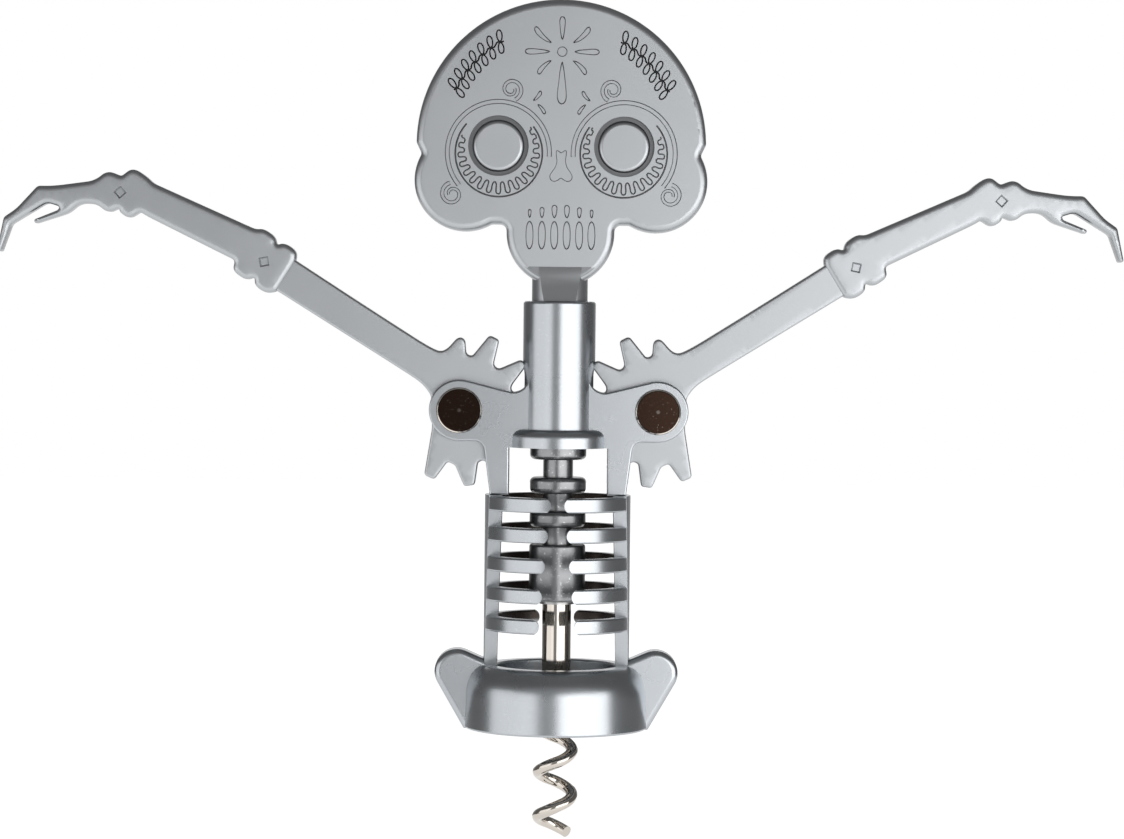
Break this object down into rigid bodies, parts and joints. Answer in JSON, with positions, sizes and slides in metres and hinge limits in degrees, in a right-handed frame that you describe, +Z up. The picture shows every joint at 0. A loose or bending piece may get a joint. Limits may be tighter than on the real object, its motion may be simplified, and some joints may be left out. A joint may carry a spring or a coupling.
{
  "type": "corkscrew",
  "caption": "Wing corkscrew shaped as a skeleton: a skull handle turns the worm, and arm levers geared to a round rack lift it through an open rib cage above a bell for the bottle.",
  "frame": {"origin": "centre of the bell's rim, on the plane that meets the bottle, on the worm's axis", "axes": "+Z up the worm's axis from the rim to the skull, +X along the levers to the object's own right as seen from the front, -Y out of the skull's face"},
  "size_m": [0.2282, 0.0376, 0.1718],
  "materials": {
    "satin_nickel": "satin nickel plate",
    "pearl_nickel": "fine bead-blasted pearl nickel plate",
    "cast_nickel": "nickel plate on a lightly grained casting",
    "dark_nickel": "polished dark nickel",
    "polished_chrome": "polished chrome plate",
    "spring_steel": "plain steel"
  },
  "bodies": {
    "frame": {"yoke": "satin_nickel", "left_rib_cage": "satin_nickel", "right_rib_cage": "satin_nickel", "bottle_bell": "satin_nickel", "left_pivot_rivet": "dark_nickel", "right_pivot_rivet": "dark_nickel", "left_rivet_cap": "dark_nickel", "right_rivet_cap": "dark_nickel", "left_front_spacer": "spring_steel", "left_back_spacer": "spring_steel", "right_front_spacer": "spring_steel", "right_back_spacer": "spring_steel", "leg_dowels": "spring_steel", "bell_dowels": "spring_steel"},
    "rack": {"rack_sleeve": "cast_nickel"},
    "screw": {"worm": "polished_chrome", "skull_handle": "pearl_nickel", "neck_pin": "spring_steel", "upper_thrust_washer": "spring_steel", "lower_thrust_washer": "spring_steel"},
    "left_arm": {"left_lever": "pearl_nickel"},
    "right_arm": {"right_lever": "pearl_nickel"}
  },
  "joints": [
    {"name": "rack_slide", "type": "slide", "parent": "frame", "child": "rack", "axis": [0, 0, 1], "range_m": [-0.0041, 0.025]},
    {"name": "handle_spin", "type": "hinge", "parent": "rack", "child": "screw", "pos_m": [0, 0, 0], "axis": [0, 0, 1], "continuous": true},
    {"name": "left_lever_swing", "type": "hinge", "parent": "frame", "child": "left_arm", "pos_m": [-0.02026, 0, 0.0651], "axis": [0, -1, 0], "range_deg": [-18, 109]},
    {"name": "right_lever_swing", "type": "hinge", "parent": "frame", "child": "right_arm", "pos_m": [0.02026, 0, 0.0651], "axis": [0, 1, 0], "range_deg": [-18, 109]}
  ],
  "couplings": [
    {"joint": "left_lever_swing", "follows": "rack_slide", "rad_per_m": 75.884},
    {"joint": "right_lever_swing", "follows": "rack_slide", "rad_per_m": 75.884}
  ]
}
